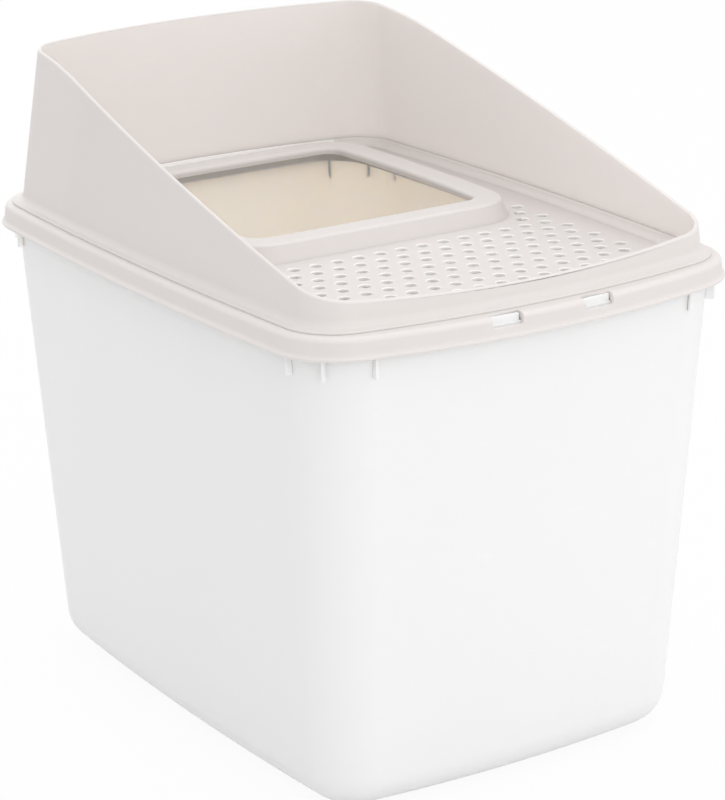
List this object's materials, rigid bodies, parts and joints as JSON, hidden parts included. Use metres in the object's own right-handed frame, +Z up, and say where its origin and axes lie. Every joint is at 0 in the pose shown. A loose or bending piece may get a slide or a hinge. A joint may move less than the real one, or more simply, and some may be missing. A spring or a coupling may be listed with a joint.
{
  "type": "top entry litter box",
  "caption": "Deep tapered tub with a lift-off lid: perforated platform, raised entry collar and a hood wall sloping down from the back to the front.",
  "frame": {"origin": "on the ground, under the middle of the box", "axes": "+Z up, -Y towards the low front of the hood, +X to the right seen from the front"},
  "size_m": [0.39, 0.543, 0.4995],
  "materials": {
    "tub_plastic": "satin translucent white polypropylene",
    "lid_plastic": "satin pinkish beige polypropylene",
    "hood_plastic": "satin pinkish beige polypropylene"
  },
  "bodies": {
    "tub": {"tub": "tub_plastic"},
    "lid": {"lid": "lid_plastic", "hood": "hood_plastic"}
  },
  "joints": [
    {"name": "lid_lift", "type": "slide", "parent": "tub", "child": "lid", "axis": [0, 0, 1], "range_m": [0, 0.12]}
  ]
}
